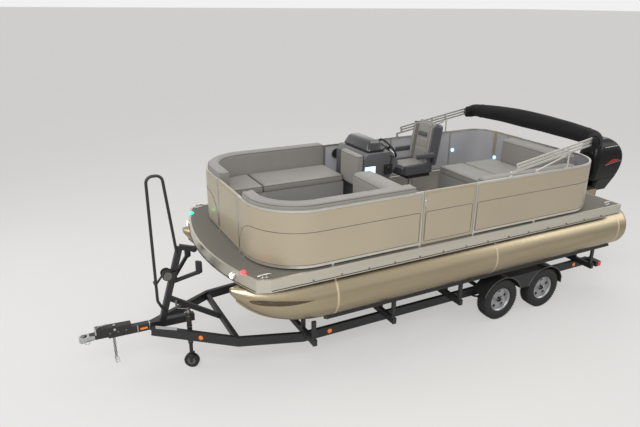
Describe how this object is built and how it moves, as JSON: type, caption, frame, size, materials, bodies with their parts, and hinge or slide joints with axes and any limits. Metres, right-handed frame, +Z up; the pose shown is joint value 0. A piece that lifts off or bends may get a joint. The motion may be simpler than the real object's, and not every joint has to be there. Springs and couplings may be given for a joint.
{
  "type": "pontoon boat on a tandem-axle trailer",
  "caption": "Pontoon boat with fenced deck, lounges, helm, folded sun top and outboard motor, parked on its tandem-axle trailer.",
  "frame": {"origin": "on the ground, under the middle of the whole length and width", "axes": "+X towards the bow and the trailer's coupler, +Y to port, +Z up"},
  "size_m": [8.7845, 2.6986, 2.6281],
  "materials": {
    "hull_aluminium": "mill finish",
    "rail_aluminium": "anodised",
    "fence_paint": "satin",
    "deck_vinyl": "woven",
    "seat_vinyl": "grained",
    "dark_vinyl": "grained",
    "base_plastic": "moulded",
    "console_plastic": "moulded",
    "hood_plastic": "smoked",
    "boot_canvas": "woven",
    "trailer_paint": "powder coat",
    "zinc_steel": "galvanised",
    "wheel_silver": "satin",
    "tyre_rubber": "moulded",
    "rubber": "moulded",
    "bunk_carpet": "carpet",
    "motor_paint": "gloss",
    "engine_iron": "cast",
    "lamp_red": "clear lens",
    "lamp_clear": "clear lens"
  },
  "bodies": {
    "root": {"pontoon_port": "hull_aluminium", "pontoon_starboard": "hull_aluminium", "cross_channels": "hull_aluminium", "deck": "deck_vinyl", "deck_edge": "rail_aluminium", "fence_frame_port": "rail_aluminium", "fence_frame_starboard": "rail_aluminium", "fence_skin_port": "fence_paint", "fence_skin_starboard": "fence_paint", "lounge_base_port": "base_plastic", "lounge_base_starboard": "base_plastic", "lounge_base_stern": "base_plastic", "seat_cushions_fixed": "seat_vinyl", "backrest_port": "seat_vinyl", "backrest_starboard": "seat_vinyl", "backrest_stern": "seat_vinyl", "console": "console_plastic", "windscreen_hood": "hood_plastic", "chair_pedestal": "rail_aluminium", "top_mounts": "rail_aluminium", "motor_pod": "hull_aluminium", "clamp_bracket": "motor_paint", "trailer_frame": "trailer_paint", "bunk_boards": "bunk_carpet", "axles": "trailer_paint", "fenders": "trailer_paint", "coupler": "zinc_steel", "winch_stand": "trailer_paint", "winch": "zinc_steel", "grab_rail": "trailer_paint", "safety_chains": "zinc_steel", "tail_lamps": "lamp_red", "bow_lamps": "lamp_clear"},
    "jack": {"jack_leg": "zinc_steel"},
    "jack_castor": {"jack_wheel": "rubber"},
    "bow_gate": {"bow_gate": "fence_paint"},
    "side_gate": {"side_gate": "fence_paint"},
    "stern_gate": {"stern_gate": "fence_paint"},
    "lid_port": {"seat_lid_port": "seat_vinyl"},
    "lid_starboard": {"seat_lid_starboard": "seat_vinyl"},
    "lid_stern": {"seat_lid_stern": "seat_vinyl"},
    "chair": {"helm_chair": "seat_vinyl"},
    "helm": {"steering_wheel": "rubber"},
    "top": {"top_frame": "rail_aluminium", "top_boot": "boot_canvas"},
    "brace": {"top_brace": "rail_aluminium"},
    "motor_tilt": {"swivel_bracket": "motor_paint"},
    "motor": {"motor_leg": "motor_paint", "motor_cowl": "motor_paint", "powerhead": "engine_iron"},
    "propeller": {"propeller": "motor_paint"},
    "wheel_port_front": {"tyre_port_front": "tyre_rubber", "rim_port_front": "wheel_silver"},
    "wheel_port_rear": {"tyre_port_rear": "tyre_rubber", "rim_port_rear": "wheel_silver"},
    "wheel_starboard_front": {"tyre_starboard_front": "tyre_rubber", "rim_starboard_front": "wheel_silver"},
    "wheel_starboard_rear": {"tyre_starboard_rear": "tyre_rubber", "rim_starboard_rear": "wheel_silver"}
  },
  "joints": [
    {"name": "spin_port_front", "type": "hinge", "parent": "root", "child": "wheel_port_front", "pos_m": [-0.9935, 0.988, 0.303], "axis": [0, 1, 0], "continuous": true},
    {"name": "spin_port_rear", "type": "hinge", "parent": "root", "child": "wheel_port_rear", "pos_m": [-1.8085, 0.988, 0.303], "axis": [0, 1, 0], "continuous": true},
    {"name": "spin_starboard_front", "type": "hinge", "parent": "root", "child": "wheel_starboard_front", "pos_m": [-0.9935, -0.988, 0.303], "axis": [0, 1, 0], "continuous": true},
    {"name": "spin_starboard_rear", "type": "hinge", "parent": "root", "child": "wheel_starboard_rear", "pos_m": [-1.8085, -0.988, 0.303], "axis": [0, 1, 0], "continuous": true},
    {"name": "jack_swing", "type": "hinge", "parent": "root", "child": "jack", "pos_m": [3.18043, 0.22734, 0.455], "axis": [0.5538, 0.8326, 0], "range_deg": [0, 90]},
    {"name": "castor_spin", "type": "hinge", "parent": "jack", "child": "jack_castor", "pos_m": [3.18043, 0.22734, 0.09], "axis": [0.5538, 0.8326, 0], "continuous": true},
    {"name": "bow_gate_hinge", "type": "hinge", "parent": "root", "child": "bow_gate", "pos_m": [2.5595, 0.447, 1.85], "axis": [0, 0, -1], "range_deg": [0, 90]},
    {"name": "side_gate_hinge", "type": "hinge", "parent": "root", "child": "side_gate", "pos_m": [-0.1375, 1.228, 1.85], "axis": [0, 0, -1], "range_deg": [0, 90]},
    {"name": "stern_gate_hinge", "type": "hinge", "parent": "root", "child": "stern_gate", "pos_m": [-2.4525, -0.897, 1.85], "axis": [0, 0, -1], "range_deg": [0, 90]},
    {"name": "lid_port_hinge", "type": "hinge", "parent": "root", "child": "lid_port", "pos_m": [1.4735, 1.076, 1.95], "axis": [-1, 0, 0], "range_deg": [0, 80]},
    {"name": "lid_starboard_hinge", "type": "hinge", "parent": "root", "child": "lid_starboard", "pos_m": [1.3085, -1.076, 1.95], "axis": [1, 0, 0], "range_deg": [0, 80]},
    {"name": "lid_stern_hinge", "type": "hinge", "parent": "root", "child": "lid_stern", "pos_m": [-1.8165, 0.413, 1.95], "axis": [0, -1, 0], "range_deg": [0, 80]},
    {"name": "chair_swivel", "type": "hinge", "parent": "root", "child": "chair", "pos_m": [-0.4365, -0.47, 1.794], "axis": [0, 0, 1], "continuous": true},
    {"name": "motor_tilt_hinge", "type": "hinge", "parent": "root", "child": "motor_tilt", "pos_m": [-3.6045, 0, 1.392], "axis": [0, 1, 0], "range_deg": [0, 68]},
    {"name": "motor_steer", "type": "hinge", "parent": "motor_tilt", "child": "motor", "pos_m": [-3.7365, 0, 1.275], "axis": [0, 0, 1], "range_deg": [-30, 30]},
    {"name": "propeller_spin", "type": "hinge", "parent": "motor", "child": "propeller", "pos_m": [-4.1265, 0, 0.57], "axis": [1, 0, 0], "continuous": true},
    {"name": "helm_turn", "type": "hinge", "parent": "root", "child": "helm", "pos_m": [0.0435, -0.4, 2.262], "axis": [0.8192, 0, -0.5736], "range_deg": [-540, 540]},
    {"name": "top_fold", "type": "hinge", "parent": "root", "child": "top", "pos_m": [-0.6965, 0, 2.237], "axis": [0, 1, 0], "range_deg": [0, 70]},
    {"name": "brace_fold", "type": "hinge", "parent": "root", "child": "brace", "pos_m": [-1.1365, 0, 2.215], "axis": [0, -1, 0], "range_deg": [0, 13]}
  ],
  "couplings": [
    {"joint": "helm_turn", "follows": "motor_steer", "ratio": 18}
  ]
}
